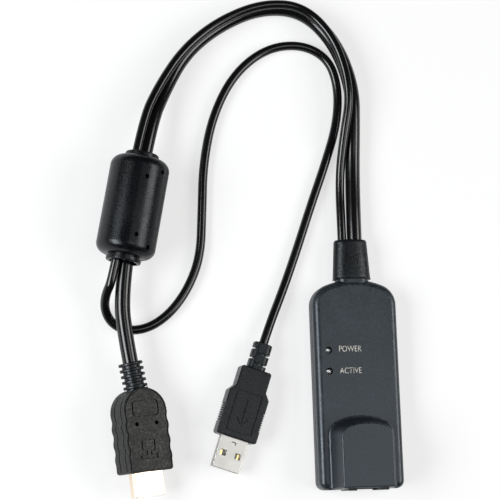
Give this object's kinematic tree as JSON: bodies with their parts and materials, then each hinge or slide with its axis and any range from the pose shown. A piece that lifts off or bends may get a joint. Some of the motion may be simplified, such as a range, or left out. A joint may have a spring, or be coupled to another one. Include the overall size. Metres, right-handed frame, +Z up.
{
  "type": "console adapter lead",
  "caption": "Dark grey housing with a raised hood over a network jack; two black cables leave the other end, share a ferrite sleeve and end in a video plug and a data plug.",
  "frame": {"origin": "on the resting plane, under the middle of the housing with its jack and cable boot", "axes": "+Y along the housing from the jack end to the cable end, +X across it, +Z up through the hood"},
  "size_m": [0.1267, 0.2124, 0.0246],
  "materials": {
    "housing_plastic": "fine moulded texture, satin",
    "black_plastic": "satin black moulding",
    "grip_plastic": "fine moulded texture",
    "black_rubber": "satin black, flexible",
    "cable_jacket": "smooth black flexible jacket",
    "ferrite": "sintered, dark grey",
    "gold_plate": "thin gold plating on a formed shell",
    "gold_contact": "gold flash on spring contacts",
    "bright_steel": "bright nickel plating",
    "screw_steel": "zinc plated",
    "bright_can": "drawn can",
    "board": "green solder mask",
    "chip_plastic": "moulded package",
    "lamp_clear": "clear cast lamp",
    "pale_plastic": "natural moulding",
    "wire_sleeve": "thin wire insulation"
  },
  "bodies": {
    "root": {"top_cover": "housing_plastic", "bottom_cover": "housing_plastic", "circuit_board": "board", "network_jack_housing": "black_plastic", "network_jack_carrier": "black_plastic", "network_jack_contacts": "gold_contact", "isolation_transformer": "chip_plastic", "power_lamp": "lamp_clear", "active_lamp": "lamp_clear", "main_chip": "chip_plastic", "memory_chip": "chip_plastic", "power_regulator": "chip_plastic", "crystal": "bright_can", "capacitors": "bright_can", "video_header": "pale_plastic", "data_header": "pale_plastic", "video_wires": "wire_sleeve", "data_wires": "wire_sleeve", "case_screws": "screw_steel", "cable_boot": "black_rubber", "video_cable": "cable_jacket", "data_cable": "cable_jacket", "ferrite_core": "ferrite", "ferrite_cover": "black_plastic", "video_plug_grip": "grip_plastic", "video_plug_relief": "black_rubber", "video_plug_shell": "gold_plate", "video_plug_tongue": "black_plastic", "video_plug_contacts": "gold_contact", "data_plug_grip": "black_plastic", "data_plug_relief": "black_rubber", "data_plug_shell": "bright_steel", "data_plug_tongue": "pale_plastic", "data_plug_contacts": "gold_contact"}
  },
  "joints": []
}
